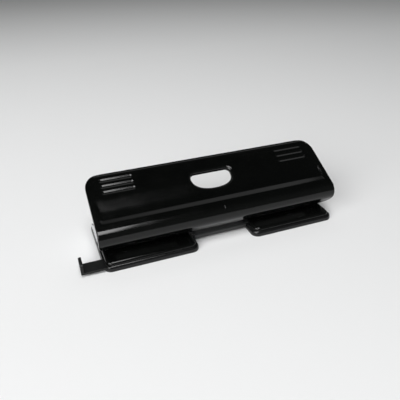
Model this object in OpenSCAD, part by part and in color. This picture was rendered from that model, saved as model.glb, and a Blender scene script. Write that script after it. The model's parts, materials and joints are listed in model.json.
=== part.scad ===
// Four-hole desk punch: two punch bases joined by a rail, with one long lever over all four pins.
// X runs along the lever, Y from the paper side to the back, Z up from the desk. Sizes are millimetres.
// The origin lies on the desk, under the middle of the whole punch.

/* [Hole pattern] */
// Distance between neighbouring hole centres
hole_pitch = 80; // [72:1:88]
// Distance from a hole's centre to the edge of the paper
hole_margin = 12; // [11:0.5:13]
// Diameter of a punched hole
hole_d = 6; // [5:0.5:6.5]
// Height of the slot that takes the sheets
paper_gap = 3.5; // [2.5:0.25:4]
// Length of the sheet that the paper guide is set for
format_l = 297; // [290:1:330]

/* [Bases] */
// Distance from an outer pin's centre to the end of its base
end_margin = 9.5; // [9.5:0.25:13]
// Depth of a base, from the paper side to the back
base_d = 87.5; // [84:0.5:110]
// Radius of a base's corners, seen from above
base_r = 8; // [5:0.5:10]
// Height of the plastic shell of a base
shell_h = 5.3; // [5.2:0.1:7]
// Thickness of a shell's floor
floor_t = 0.8; // [0.7:0.1:1]
// Width of a shell's side walls
side_w = 4.5; // [3.5:0.25:4.75]
// Thickness of a shell's front wall
front_w = 1.5; // [1:0.25:2]
// Thickness of the wall between the guide channel and the drawer
cross_w = 1.2; // [0.8:0.2:2]
// Height of the steel deck over the shell
deck_h = 3.2; // [3.2:0.1:5]
// How far the deck's front and back edges lie inside the shell
deck_in = 2.5; // [1:0.25:4]
// How far the shell's rim stands outside the frame cheeks
rim_out = 1; // [0.5:0.25:2]
// Rounding of the deck's and shell's edges
edge_r = 1.2; // [0.6:0.1:1.4]
// Diameter of a rubber pad
pad_d = 10; // [6:0.5:12]
// Distance from a pad's centre to the ends of its base
pad_in = 13; // [10:0.5:18]
// Height of a pad under the shell
pad_out = 0.5; // [0.3:0.1:1]
// Depth that a pad is let into the shell
pad_sunk = 0.4; // [0.2:0.1:0.5]

/* [Punch frames] */
// Thickness of the frames' and decks' steel sheet
sheet = 1.5; // [1.2:0.1:1.8]
// Height of the pivot over the deck
pivot_up = 23; // [22:0.5:26]
// Distance of the pivot from the front of the bases
pivot_y = 16.4; // [15:0.2:20]
// Diameter of the pivot rod
pivot_d = 5; // [4:0.5:6]
// Radius of a cheek's ear round the pivot
ear_r = 6.5; // [5.5:0.25:7.5]
// Thickness of the lower guide strip
strip_t = 1; // [0.8:0.1:1.5]
// How far the guide strip and tabs reach in front of the pins
strip_front = 6.4; // [6:0.2:8]
// Height of the paper stop wall over the deck
wall_h = 21; // [20:0.5:24]
// Length of the foot behind the paper stop
foot_l = 14; // [11:0.5:20]
// Height of a cheek's back end over the deck
cheek_back_h = 2.5; // [1:0.5:8]
// Width of a guide tab round a pin
tab_w = 13; // [12.5:0.25:14]
// Diameter of the rivets
rivet_d = 3; // [2.5:0.1:3.2]
// How far a rivet's head reaches past its shank
rivet_out = 1.1; // [0.8:0.1:1.4]
// Height of a rivet's round head
rivet_h = 1.1; // [0.8:0.1:1.2]
// Height of a rivet's flat head
rivet_flat_h = 0.5; // [0.4:0.1:0.6]
// Diameter of a pivot cap
cap_d = 8; // [7:0.5:10]
// Thickness of a pivot cap
cap_t = 1.8; // [1.5:0.1:2.2]

/* [Lever] */
// Slope of the lever at rest, in degrees
tilt = 27.3; // [25:0.1:30]
// Swing of the lever from rest to fully pressed, in degrees
swing = 22; // [18:0.5:23]
// Radius of the lever's rounded nose
nose_r = 12; // [11.5:0.25:14]
// Wall thickness of the lever cover
wall = 2.4; // [1.8:0.1:2.6]
// Length of the flat plate behind the nose
plate_l = 67.2; // [64:0.2:80]
// Width of the roll along the plate's back edge
roll_w = 5; // [4:0.25:5.5]
// Radius of that roll
roll_r = 8; // [7.5:0.5:10]
// Angle at which the roll leaves the plate, in degrees
roll_turn = 6; // [4:0.5:8]
// Length of the straight lip under the nose
lip_l = 11; // [10.75:0.25:11.5]
// Step from the nose's face and ends back to the lip's
lip_step = 0.1; // [0.08:0.01:0.12]
// How far the nose turns past level before the lip, in degrees
lip_turn = 12.6; // [8:0.2:16]
// How far the lever reaches past each base
lever_over = 1.7; // [1.5:0.1:4]
// Depth of the rim under the cover's edges
rim_d = 6; // [5:0.25:7]
// Thickness of that rim
rim_w = 2.2; // [1.5:0.1:2.2]
// Radius of the plate's back corners
corner_r = 18; // [10:0.5:20]
// Radius of the lip's lower corners
lip_corner_r = 10.5; // [6:0.5:10.5]
// Distance from the cover's ends to the hollow in the plate
hollow_in = 5.1; // [4:0.1:7]
// Distance from the nose to the hollow
hollow_front = 5.3; // [5:0.1:8]
// Distance from the nose at which the hollow has run out
hollow_end = 34; // [30:0.5:38]
// Depth of the hollow at its front
hollow_d = 1.2; // [0.8:0.05:1.3]
// Width of the hollow's front slope
hollow_slope = 6; // [4:0.25:7]
// Width of the hollow's side slopes
hollow_side = 2.6; // [2:0.1:4]
// Corner radius of the hollow's floor
hollow_r = 4; // [3:0.25:5]
// Number of grip grooves at each end
groove_n = 3; // [1:1:4]
// Length of a groove
groove_l = 34.5; // [20:0.5:40]
// Distance between grooves
groove_pitch = 7.5; // [6.5:0.1:8]
// Width of a groove
groove_w = 4; // [4:0.25:6]
// Depth of a groove
groove_d = 0.5; // [0.4:0.05:0.7]
// Distance from the cover's ends to the grooves
groove_in = 14.8; // [14:0.1:24]
// Distance from the back edge to the middle of the first groove
groove_back = 10.7; // [10:0.1:13]
// Width of the centre mark on the nose
mark_d = 0.8; // [0.5:0.1:1.2]
// Length of the centre mark
mark_l = 3.4; // [2:0.2:5]
// How far the centre mark lies round the nose from the plate, in degrees
mark_at = 12.6; // [10:0.2:40]

/* [Finger hole] */
// Width of the finger hole
finger_w = 45; // [36:1:50]
// Depth of the finger hole's straight sides
finger_straight = 6; // [6:0.5:10]
// Depth of the finger hole's round front
finger_round = 14.5; // [10:0.5:16]
// Fullness of that round front: 2 is an ellipse, more is squarer
finger_full = 2.3; // [2:0.1:2.6]
// Distance from the back edge to the finger hole
finger_back = 22; // [20:0.5:26]
// Radius of the finger hole's back corners
finger_r = 5; // [3:0.5:5.5]
// Width of the rounding round the finger hole
flare_w = 4; // [2:0.25:4.5]
// Thickness of the collar under the finger hole's edge
collar_w = 2; // [1.2:0.2:3]
// Depth of the collar under the plate's top
collar_d = 4.4; // [4.2:0.1:7]

/* [Press gear] */
// Distance from the cover's ends to the lever's steel plate
steel_in = 5.2; // [5:0.1:10]
// Distance from the cover's back edge to the steel plate
steel_back = 11.8; // [11:0.1:13]
// Wall of a press ear round its rod
press_wall = 2.5; // [2:0.1:3]
// Diameter of the screws that hold the cover to the steel plate
screw_d = 2.8; // [2.5:0.1:3.2]
// Distance of the screws from the middle of a base
screw_off = 22; // [16:0.5:24]
// Distance of the front screws behind the pivot
screw_front = 32; // [31:0.5:34]
// Distance of the back screws from the back edge
screw_back = 17.5; // [16:0.5:18]
// Distance from the pivot to the press rods
press_r = 16; // [15:0.25:17]
// Diameter of a press rod
press_d = 6; // [5:0.25:6.5]
// Distance from a press ear's middle to its pin
press_ear_in = 9.5; // [9.25:0.25:14]
// Thickness of a press ear
press_ear_t = 2; // [1.5:0.1:2.4]
// Outer diameter of a pin's clip
clip_d = 10.4; // [9.5:0.1:11]
// Thickness of a pin's clip
clip_t = 0.8; // [0.6:0.1:1]
// Diameter of a pin's neck inside its clip
neck_d = 4.6; // [4:0.1:4.7]
// Wire diameter of a return spring
wire_d = 0.7; // [0.5:0.05:0.8]
// Mean diameter of a return spring
coil_d = 8.6; // [8.2:0.1:9]
// Turns of a return spring
coil_n = 4; // [3:1:5]

/* [Rail, guide and drawers] */
// Distance of the rail's front from the front of the bases
rail_y = 19.5; // [19.5:0.25:22]
// Depth of the rail
rail_w = 25; // [22:0.5:25]
// Height of the rail's lower edges over the desk
rail_z = 2.4; // [1.5:0.1:4]
// How far a rail tongue reaches under a deck
tongue_l = 21; // [20:0.5:30]
// Width of the paper guide's bar
guide_w = 16.5; // [14:0.25:16.5]
// Thickness of the bar
guide_t = 2; // [1.5:0.1:2]
// Length of the bar inside the stop
guide_l = 86.5; // [70:0.5:90]
// Height of the guide's stop over the bar's underside
stop_h = 11.5; // [8:0.5:12]
// Thickness of the guide's stop
stop_t = 3; // [2:0.25:4]
// Radius of the stop's upper corners
stop_r = 3; // [1:0.25:4]
// Width of the catch at the bar's inner end
catch_w = 2; // [1.5:0.25:3]
// Thickness of a drawer's walls
drawer_w = 1; // [0.8:0.1:1.2]
// Height of a drawer's walls
drawer_h = 3.4; // [3:0.1:3.5]
// Thickness of a drawer's back panel
drawer_panel = 2.5; // [2:0.1:4]
// Radius of the thumb notch in that panel
notch_r = 12; // [8:0.5:16]
// Depth of the thumb notch
notch_d = 2; // [1:0.1:2.4]

/* [Clearances] */
// Running gap between pieces that move past each other
run_gap = 0.3; // [0.25:0.01:0.4]
// Radial clearance of a rod or pin in its bore
bore_gap = 0.05; // [0.03:0.01:0.1]
// Gap between the press rod and the guide tabs at full press
tab_gap = 0.7; // [0.5:0.05:0.8]

/* [Hidden] */

$fn = 64;
hull_fn = 48;
// Overshoot of a cut past the face that it opens
cut = 1;

// Heights over the desk, from the pads up
z_shell = pad_out;
z_floor = z_shell + floor_t;
z_seam = z_shell + shell_h;
z_deck = z_seam + deck_h;
z_strip = z_deck + paper_gap;
z_spring = z_strip + strip_t;
pivot_z = z_deck + pivot_up;
press_rise = press_r * sin(swing / 2);
z_tab = pivot_z - press_rise - press_d / 2 - tab_gap - sheet;
z_clip = z_tab - run_gap - clip_t;
z_pin_top = pivot_z + press_rise - press_d / 2 - run_gap;
z_pin = z_strip + run_gap;

// Places along the lever, for the right base; the left one mirrors it
base_c = hole_pitch;
base_l = hole_pitch + 2 * end_margin;
base_x0 = base_c - base_l / 2;
base_x1 = base_c + base_l / 2;
cheek_x0 = base_x0 + rim_out;
cheek_x1 = base_x1 - rim_out;
deck_x0 = cheek_x0 + sheet;
deck_x1 = cheek_x1 - sheet;
deck_l = deck_x1 - deck_x0;
pin_x = [base_c - hole_pitch / 2, base_c + hole_pitch / 2];
all_pin_x = [-pin_x[1], -pin_x[0], pin_x[0], pin_x[1]];
lever_half = base_x1 + lever_over;

// Places from front to back
pin_y = pivot_y + press_r;
stop_y = pin_y + hole_margin;
strip_y = pin_y - strip_front;
channel_y1 = rail_y - run_gap;
drawer_y = channel_y1 + cross_w + run_gap;
deck_y0 = deck_in;
deck_y1 = base_d - deck_in;
deck_r = base_r - rim_out;

// Lever frame: distances from the pivot along the plate and square to it
press_at = press_r * [cos(swing / 2 - tilt), sin(swing / 2 - tilt)];
plate_under = nose_r - wall;
plate_steel = plate_under - sheet;
lip_angle = 180 + lip_turn;
// How far the lip runs up into the nose's wall
lip_lap = 1.2;
// Radius of a groove's round bottom
groove_r = (groove_w * groove_w / 4 + groove_d * groove_d) / (2 * groove_d);
// Finger hole: steps of its rounding, how far that ends over the plate, steps of its outline
flare_n = 6;
flare_over = 0.05;
corner_n = 8;
front_n = 28;

// Screws, rivets and pads
rivet_room = 2;
screw_head_h = 0.6 * screw_d;
screw_head_d = 2 * screw_d;
screw_bite = wall - groove_d - run_gap;
screw_spots = [for (side = [-1, 1], x = [base_c - screw_off, base_c + screw_off],
                    y = [screw_front, plate_l - screw_back]) [side * x, y]];
frame_rivet_x = [base_c - base_l / 3, base_c, base_c + base_l / 3];
frame_rivet_y = stop_y + sheet + foot_l / 2;
guide_rivet_x = [base_c - base_l / 5, base_c + base_l / 5];
guide_rivet_z = (z_tab + sheet + z_deck + wall_h) / 2;
rail_rivet_in = rivet_d / 2 + rivet_out + rivet_room;
rail_rivet_x = base_x0 + tongue_l - rail_rivet_in;
rail_rivet_y = [rail_y + sheet + rail_rivet_in, rail_y + rail_w - sheet - rail_rivet_in];
pad_spots = [for (x = [-1, 1], y = [pad_in, base_d - pad_in]) [base_c + x * (base_l / 2 - pad_in), y]];

// The guide's bar lies in the channel behind the front wall, on two ribs of the shell
guide_y = front_w + run_gap;
guide_rib_h = 1.4;
guide_z = z_floor + guide_rib_h + run_gap;
guide_face = format_l / 2;

// The whole punch is placed with its box's middle over the origin
shift_x = (guide_face + stop_t - lever_half) / 2;
shift_y = -base_d / 2;

module placed() {
    translate([shift_x, shift_y, 0])
        children();
}

module left_side() {
    mirror([1, 0, 0])
        children();
}

// Carries children from the lever's own frame: pivot at the origin, plate level, back edge at +Y
module on_lever() {
    translate([0, pivot_y, pivot_z])
        rotate([tilt, 0, 0])
            children();
}

// Side profile drawn as (Y, Z), carried along X for a length about the middle
module along_x(length) {
    rotate([90, 0, 90])
        linear_extrude(length, center = true)
            children();
}

module rounded(w, d, r) {
    square([w - 2 * r, d], center = true);
    square([w, d - 2 * r], center = true);
    for (x = [-1, 1], y = [-1, 1])
        translate([x * (w / 2 - r), y * (d / 2 - r)])
            circle(r);
}

// Block with rounded corners, drawn in by an inset at each of its heights: layers are [height, inset]
module layered_block(w, d, r, layers) {
    hull()
        for (i = [1 : len(layers) - 1], x = [-1, 1], y = [-1, 1])
            translate([x * (w / 2 - r), y * (d / 2 - r), layers[i - 1][0]])
                cylinder(layers[i][0] - layers[i - 1][0],
                         r1 = r - layers[i - 1][1], r2 = r - layers[i][1], $fn = hull_fn);
}

// Heights and insets of an edge that is rounded over at the top of a block
function eased_top(h, e) = [[h - e, 0], [h - 0.3 * e, 0.3 * e], [h, e]];

// Rivet along +Z from its lower head to its upper head; a flush one has no upper head
module rivet(grip, low_h, top_h) {
    head_r = rivet_d / 2 + rivet_out;
    translate([0, 0, -low_h])
        cylinder(low_h, r1 = head_r - low_h / 2, r2 = head_r);
    cylinder(grip, d = rivet_d);
    if (top_h > 0)
        translate([0, 0, grip])
            cylinder(top_h, r1 = head_r, r2 = head_r - top_h / 2);
}

// Lever

module nose_sector() {
    far = 3 * nose_r;
    polygon([[0, 0], [0, far], [-far, far], [-far, -far * tan(lip_turn)]]);
}

// Section of the nose between two depths under the cover's outer face
module nose_section(depth0, depth1) {
    intersection() {
        difference() {
            circle(nose_r - depth0);
            circle(nose_r - depth1);
        }
        nose_sector();
    }
}

// Plate seen from above, from the nose to its rounded back corners
module plate_outline(inset) {
    half = lever_half - inset;
    r = corner_r - inset;
    back = plate_l - inset;
    translate([-half, 0])
        square([2 * half, back - r]);
    translate([-half + r, 0])
        square([2 * (half - r), back]);
    for (x = [-1, 1])
        translate([x * (half - r), back - r])
            circle(r);
}

// Lip seen from the front, hanging from the nose, with rounded lower corners
module lip_outline() {
    r = lip_corner_r;
    half = lever_half - lip_step;
    translate([-half, -lip_lap])
        square([2 * half, lip_lap + lip_l - r]);
    translate([-half + r, -lip_lap])
        square([2 * (half - r), lip_lap + lip_l]);
    for (x = [-1, 1])
        translate([x * (half - r), lip_l - r])
            intersection() {
                circle(r);
                translate([-r, 0])
                    square([2 * r, r]);
            }
}

// Shell of the cover: plate, nose and lip
module cover_wall() {
    translate([0, 0, nose_r - wall])
        linear_extrude(wall)
            plate_outline(0);
    along_x(2 * lever_half)
        nose_section(0, wall);
    rotate([lip_angle, 0, 0])
        translate([0, nose_r - lip_step, 0])
            rotate([90, 0, 0])
                linear_extrude(wall)
                    lip_outline();
}

// Rim under the plate's ends and back, and inside the nose's open ends
module cover_rim() {
    translate([0, 0, nose_r - rim_d])
        linear_extrude(rim_d - wall / 2)
            difference() {
                plate_outline(0);
                plate_outline(rim_w);
                translate([rim_w - lever_half, -cut])
                    square([2 * (lever_half - rim_w), 2 * cut]);
            }
    for (x = [-1, 1])
        translate([x * (lever_half - rim_w / 2), 0, 0])
            along_x(rim_w)
                nose_section(wall / 2, rim_d);
}

// D-shaped outline of the finger hole: straight back, round corners, and a full round front
function finger_points(grow) =
    let (half = finger_w / 2 + grow, r = finger_r + grow, back = plate_l - finger_back + grow,
         mid = plate_l - finger_back - finger_straight, front = finger_round + grow, power = 2 / finger_full)
    concat(
        [for (i = [0 : corner_n]) let (a = i * 90 / corner_n)
            [half - r + r * cos(a), back - r + r * sin(a)]],
        [for (i = [0 : corner_n]) let (a = i * 90 / corner_n)
            [r - half - r * sin(a), back - r + r * cos(a)]],
        [for (i = [0 : front_n]) let (a = i * 180 / front_n)
            [-half * sign(cos(a)) * pow(abs(cos(a)), power), mid - front * pow(sin(a), power)]]
    );

module finger_shape(grow) {
    polygon(finger_points(grow));
}

// Cutter of the finger hole: straight below, then a quarter round that opens to the plate's top
module finger_cut() {
    layers = concat(
        [[-collar_d - cut, 0]],
        [for (i = [0 : flare_n]) let (a = i * 90 / flare_n)
            [flare_over - flare_w * (1 - sin(a)), flare_w * (1 - cos(a))]],
        [[cut, flare_w]]
    );
    n = len(finger_points(0));
    last = len(layers) - 1;
    translate([0, 0, nose_r])
        polyhedron(
            [for (l = layers, p = finger_points(l[1])) [p[0], p[1], l[0]]],
            concat(
                [[for (i = [0 : n - 1]) i]],
                [for (k = [0 : last - 1], i = [0 : n - 1])
                    [k * n + i, (k + 1) * n + i, (k + 1) * n + (i + 1) % n]],
                [for (k = [0 : last - 1], i = [0 : n - 1])
                    [k * n + i, (k + 1) * n + (i + 1) % n, k * n + (i + 1) % n]],
                [[for (i = [n - 1 : -1 : 0]) last * n + i]]
            ),
            convexity = 4
        );
}

// Cutter of the plate's hollow: deep in front, sloping up at the front and sides, running out at the back
module plate_hollow() {
    y1 = hollow_front + hollow_slope;
    x1 = lever_half - hollow_in - hollow_side;
    // The slopes go on above the plate by the same steps
    rise = (hollow_d + cut) / hollow_d;
    y0 = y1 - hollow_slope * rise;
    x0 = x1 + hollow_side * rise;
    y2 = y1 + 2 * hollow_r;
    y3 = y2 + (hollow_end - y2) * rise;
    translate([0, 0, nose_r - hollow_d])
        hull() {
            for (x = [-1, 1]) {
                translate([x * (x1 - hollow_r), y1 + hollow_r, 0])
                    cylinder(hollow_d / 4, r = hollow_r, $fn = hull_fn);
                translate([x * (x0 - 2 * hollow_r), y0 + 2 * hollow_r, hollow_d + cut])
                    cylinder(cut, r = 2 * hollow_r, $fn = hull_fn);
            }
            translate([-x0, y3, hollow_d + cut])
                cube([2 * x0, cut, cut]);
        }
}

// Cutters of the grip grooves: round bars with round ends that dip into the plate
module grip_grooves() {
    reach = groove_l - groove_w;
    for (side = [-1, 1], i = [0 : groove_n - 1])
        translate([side * (lever_half - groove_in - groove_l / 2), plate_l - groove_back - i * groove_pitch,
                   nose_r - groove_d + groove_r]) {
            rotate([0, 90, 0])
                cylinder(reach, r = groove_r, center = true);
            for (x = [-reach / 2, reach / 2])
                translate([x, 0, 0])
                    sphere(groove_r);
        }
}

// Cutter that rolls the plate's back edge down
module back_roll() {
    y0 = plate_l - roll_w;
    along_x(2 * lever_half + 2 * cut)
        difference() {
            translate([y0 - cut, nose_r - rim_d])
                square([roll_w + 2 * cut, rim_d + cut]);
            translate([y0 - roll_r * sin(roll_turn), nose_r - roll_r * cos(roll_turn)])
                circle(roll_r);
        }
}

module at_screws() {
    for (spot = screw_spots)
        translate([spot[0], spot[1], plate_steel])
            children();
}

module centre_mark() {
    rotate([mark_at, 0, 0])
        translate([0, 0, nose_r - mark_d / 4])
            cube([mark_d, mark_l, mark_d], center = true);
}

module lever_cover() {
    color("#0c0c0d") placed() on_lever() difference() {
        union() {
            cover_wall();
            cover_rim();
            centre_mark();
            translate([0, 0, nose_r - collar_d])
                linear_extrude(collar_d - wall / 2)
                    finger_shape(collar_w);
        }
        plate_hollow();
        grip_grooves();
        back_roll();
        finger_cut();
        at_screws()
            cylinder(sheet + screw_bite + bore_gap, d = screw_d + 2 * bore_gap);
    }
}

// Side shape of a press ear, round the pivot and the press rod and up to the steel plate
module press_ear_shape() {
    r = press_d / 2 + press_wall;
    circle(ear_r);
    translate(press_at)
        circle(r);
    polygon([[-ear_r, 0], [run_gap, plate_steel + sheet / 2],
             [press_at[0] + r, plate_steel + sheet / 2], [press_at[0] + r, press_at[1]],
             [press_at[0], press_at[1] - r], [0, -ear_r]]);
}

module lever_frame() {
    plate_w = 2 * (lever_half - steel_in);
    y0 = run_gap;
    y1 = plate_l - steel_back;
    ear_x = [pin_x[0] + press_ear_in, pin_x[1] - press_ear_in];
    color("#8d9196") placed() on_lever() difference() {
        union() {
            translate([-plate_w / 2, y0, plate_steel])
                cube([plate_w, y1 - y0, sheet]);
            for (side = [-1, 1], x = ear_x)
                translate([side * x, 0, 0])
                    along_x(press_ear_t)
                        press_ear_shape();
        }
        along_x(2 * plate_w)
            circle(d = pivot_d + 2 * bore_gap);
        along_x(2 * plate_w)
            translate(press_at)
                circle(d = press_d + 2 * bore_gap);
        translate([0, 0, plate_steel - cut])
            linear_extrude(sheet + 2 * cut)
                finger_shape(collar_w + run_gap);
        at_screws()
            translate([0, 0, -cut])
                cylinder(sheet + 2 * cut, d = screw_d + 2 * bore_gap);
    }
}

module cover_screws() {
    color("#b9bcc0") placed() on_lever() at_screws() {
        cylinder(sheet + screw_bite, d = screw_d);
        translate([0, 0, -screw_head_h])
            difference() {
                cylinder(screw_head_h, d1 = screw_head_d - screw_head_h / 2, d2 = screw_head_d);
                for (turn = [0, 90])
                    rotate(turn)
                        cube([1.2 * screw_d, 0.3 * screw_d, screw_head_h], center = true);
            }
    }
}

module press_rod() {
    reach = pin_x[1] - pin_x[0] + 2 * (press_d / 2 + bore_gap);
    on_lever()
        translate([base_c, 0, 0])
            along_x(reach)
                translate(press_at)
                    circle(d = press_d);
}

module left_press_rod() {
    color("#a9adb2") placed() left_side() press_rod();
}

module right_press_rod() {
    color("#a9adb2") placed() press_rod();
}

// Pivot

module pivot_rod() {
    reach = cheek_x1 + cap_t / 2;
    color("#a9adb2") placed()
        translate([0, pivot_y, pivot_z])
            along_x(2 * reach)
                circle(d = pivot_d);
}

module rod_caps() {
    color("#1b1b1c") placed()
        for (side = [-1, 1])
            translate([side * cheek_x1, pivot_y, pivot_z])
                rotate([0, side * 90, 0])
                    difference() {
                        union() {
                            cylinder(cap_t / 2, d = cap_d);
                            translate([0, 0, cap_t / 2])
                                cylinder(cap_t / 2, d1 = cap_d, d2 = cap_d / 2);
                        }
                        translate([0, 0, -cut])
                            cylinder(cap_t / 2 + cut + bore_gap, d = pivot_d + 2 * bore_gap);
                    }
}

// Punch frames

// A cheek carries the pivot over the paper slot and stands on the deck behind the paper stop
module cheek_shape() {
    // Where the top and front edges leave the ear, in degrees
    top_at = 70;
    front_at = 224;
    translate([pivot_y, pivot_z])
        circle(ear_r);
    polygon([
        [strip_y, z_strip], [stop_y, z_strip], [stop_y, z_seam + run_gap],
        [deck_y1 - base_r, z_seam + run_gap], [deck_y1 - base_r, z_deck + cheek_back_h],
        [pivot_y + ear_r * cos(top_at), pivot_z + ear_r * sin(top_at)],
        [pivot_y + ear_r * cos(front_at), pivot_z + ear_r * sin(front_at)]
    ]);
}

module punch_frame() {
    difference() {
        union() {
            for (x = [cheek_x0 + sheet / 2, cheek_x1 - sheet / 2])
                translate([x, 0, 0])
                    along_x(sheet)
                        cheek_shape();
            translate([deck_x0, stop_y, z_deck])
                cube([deck_l, sheet, wall_h]);
            translate([deck_x0, stop_y, z_deck])
                cube([deck_l, sheet + foot_l, sheet]);
            translate([deck_x0, strip_y, z_strip])
                cube([deck_l, stop_y - strip_y + sheet / 2, strip_t]);
        }
        translate([base_c, pivot_y, pivot_z])
            along_x(2 * base_l)
                circle(d = pivot_d + 2 * bore_gap);
        for (x = pin_x)
            translate([x, pin_y, z_strip - cut])
                cylinder(strip_t + 2 * cut, d = hole_d + 2 * bore_gap);
        for (x = frame_rivet_x)
            translate([x, frame_rivet_y, z_deck - cut])
                cylinder(sheet + 2 * cut, d = rivet_d + 2 * bore_gap);
        for (x = guide_rivet_x)
            translate([x, stop_y - cut, guide_rivet_z])
                rotate([-90, 0, 0])
                    cylinder(sheet + 2 * cut, d = rivet_d + 2 * bore_gap);
    }
}

module left_punch_frame() {
    color("#c6c9cb") placed() left_side() punch_frame();
}

module right_punch_frame() {
    color("#c6c9cb") placed() punch_frame();
}

// Strip in front of the paper stop wall, with two tabs bent forward round the pins
module pin_guide() {
    difference() {
        union() {
            translate([deck_x0 + run_gap, stop_y - sheet, z_tab])
                cube([deck_l - 2 * run_gap, sheet, z_deck + wall_h - z_tab]);
            for (x = pin_x)
                translate([x - tab_w / 2, strip_y, z_tab])
                    cube([tab_w, stop_y - strip_y - sheet / 2, sheet]);
        }
        for (x = pin_x)
            translate([x, pin_y, z_tab - cut])
                cylinder(sheet + 2 * cut, d = hole_d + 2 * bore_gap);
        for (x = guide_rivet_x)
            translate([x, stop_y - sheet - cut, guide_rivet_z])
                rotate([-90, 0, 0])
                    cylinder(sheet + 2 * cut, d = rivet_d + 2 * bore_gap);
    }
}

module left_pin_guide() {
    color("#101011") placed() left_side() pin_guide();
}

module right_pin_guide() {
    color("#101011") placed() pin_guide();
}

module guide_rivets() {
    color("#9ea2a6") placed()
        for (side = [-1, 1], x = guide_rivet_x)
            translate([side * x, stop_y - sheet, guide_rivet_z])
                rotate([-90, 0, 0])
                    rivet(2 * sheet, rivet_h, rivet_h);
}

module frame_rivets() {
    color("#9ea2a6") placed()
        for (side = [-1, 1], x = frame_rivet_x)
            translate([side * x, frame_rivet_y, z_deck - sheet])
                rivet(2 * sheet, rivet_flat_h, rivet_h);
}

// Bases

module deck() {
    difference() {
        translate([base_c, base_d / 2, z_seam])
            layered_block(deck_l, deck_y1 - deck_y0, deck_r, concat([[0, 0]], eased_top(deck_h, edge_r)));
        translate([base_c, base_d / 2, z_seam - cut])
            linear_extrude(deck_h - sheet + cut)
                rounded(deck_l - 2 * sheet, deck_y1 - deck_y0 - 2 * sheet, deck_r - sheet);
        translate([deck_x0 - cut, rail_y + sheet - run_gap, z_seam - cut])
            cube([2 * sheet + cut, rail_w - 2 * sheet + 2 * run_gap, deck_h - sheet + cut]);
        for (x = pin_x)
            translate([x, pin_y, z_seam])
                cylinder(deck_h + cut, d = hole_d + 2 * bore_gap);
        for (x = frame_rivet_x)
            translate([x, frame_rivet_y, z_seam])
                cylinder(deck_h + cut, d = rivet_d + 2 * bore_gap);
        for (y = rail_rivet_y)
            translate([rail_rivet_x, y, z_seam])
                cylinder(deck_h + cut, d = rivet_d + 2 * bore_gap);
    }
}

module left_deck() {
    color("#101011") placed() left_side() deck();
}

module right_deck() {
    color("#101011") placed() deck();
}

// Shell with a channel for the guide bar in front and a drawer pocket that opens at the back
module shell(window) {
    inner_w = base_l - 2 * side_w;
    difference() {
        translate([base_c, base_d / 2, z_shell])
            layered_block(base_l, base_d, base_r,
                          concat([[0, edge_r / 2], [edge_r / 2, 0]], eased_top(shell_h, edge_r / 2)));
        difference() {
            translate([base_c - inner_w / 2, front_w, z_floor])
                cube([inner_w, base_d, shell_h]);
            translate([base_x0, channel_y1, z_shell])
                cube([base_l, cross_w, shell_h]);
            for (y = [guide_y + guide_w / 4, guide_y + guide_w * 3 / 4])
                translate([base_x0, y - cross_w / 2, z_shell])
                    cube([base_l, cross_w, floor_t + guide_rib_h]);
        }
        if (window)
            translate([base_x1 - side_w - cut, guide_y - run_gap / 2, guide_z - run_gap])
                cube([side_w + 2 * cut, guide_w + run_gap, guide_t + 2 * run_gap]);
        for (spot = pad_spots)
            translate([spot[0], spot[1], z_shell - cut])
                cylinder(pad_sunk + cut, d = pad_d + 2 * bore_gap);
    }
}

module left_shell() {
    color("#1c1c1e") placed() left_side() shell(true);
}

module right_shell() {
    color("#1c1c1e") placed() shell(false);
}

module pads() {
    for (spot = pad_spots)
        translate([spot[0], spot[1], 0])
            cylinder(pad_out + pad_sunk, d = pad_d);
}

module left_pads() {
    color("#2a2a2a") placed() left_side() pads();
}

module right_pads() {
    color("#2a2a2a") placed() pads();
}

// Drawer for the chips, pulled out at the back by its thumb notch
module chip_drawer() {
    w = base_l - 2 * side_w - 2 * run_gap;
    z0 = z_floor + run_gap;
    depth = base_d - drawer_y;
    panel_top = z_seam - run_gap;
    intersection() {
        difference() {
            union() {
                translate([base_c - w / 2, drawer_y, z0])
                    cube([w, depth, drawer_h]);
                translate([base_c - w / 2, base_d - drawer_panel, z0])
                    cube([w, drawer_panel, panel_top - z0]);
            }
            translate([base_c - w / 2 + drawer_w, drawer_y + drawer_w, z0 + drawer_w])
                cube([w - 2 * drawer_w, depth - drawer_w - drawer_panel, shell_h]);
            translate([base_c, base_d + cut, panel_top - notch_d + notch_r])
                rotate([90, 0, 0])
                    cylinder(drawer_panel + 2 * cut, r = notch_r);
        }
        translate([base_c, base_d / 2, z_shell])
            linear_extrude(shell_h)
                rounded(base_l, base_d, base_r);
    }
}

module left_chip_drawer() {
    color("#242426") placed() left_side() chip_drawer();
}

module right_chip_drawer() {
    color("#242426") placed() chip_drawer();
}

// Rail and guide

// Inverted channel between the bases, with a tongue under each deck
module bridge_rail() {
    z1 = z_deck - sheet - bore_gap;
    half = base_x0 - run_gap;
    color("#131314") placed() difference() {
        union() {
            translate([-base_x0 - tongue_l, rail_y + sheet, z1 - sheet])
                cube([2 * (base_x0 + tongue_l), rail_w - 2 * sheet, sheet]);
            for (y = [rail_y, rail_y + rail_w - sheet])
                translate([-half, y, rail_z])
                    cube([2 * half, sheet, z1 - rail_z]);
        }
        for (side = [-1, 1]) {
            translate([side * pin_x[0], pin_y, rail_z])
                cylinder(z_deck, d = hole_d + 4 * run_gap);
            for (y = rail_rivet_y)
                translate([side * rail_rivet_x, y, rail_z])
                    cylinder(z_deck, d = rivet_d + 2 * bore_gap);
        }
    }
}

module rail_rivets() {
    grip = 2 * sheet + bore_gap;
    color("#1d1d1e") placed()
        for (side = [-1, 1], y = rail_rivet_y)
            translate([side * rail_rivet_x, y, z_deck - grip])
                rivet(grip, rivet_flat_h, 0);
}

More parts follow.
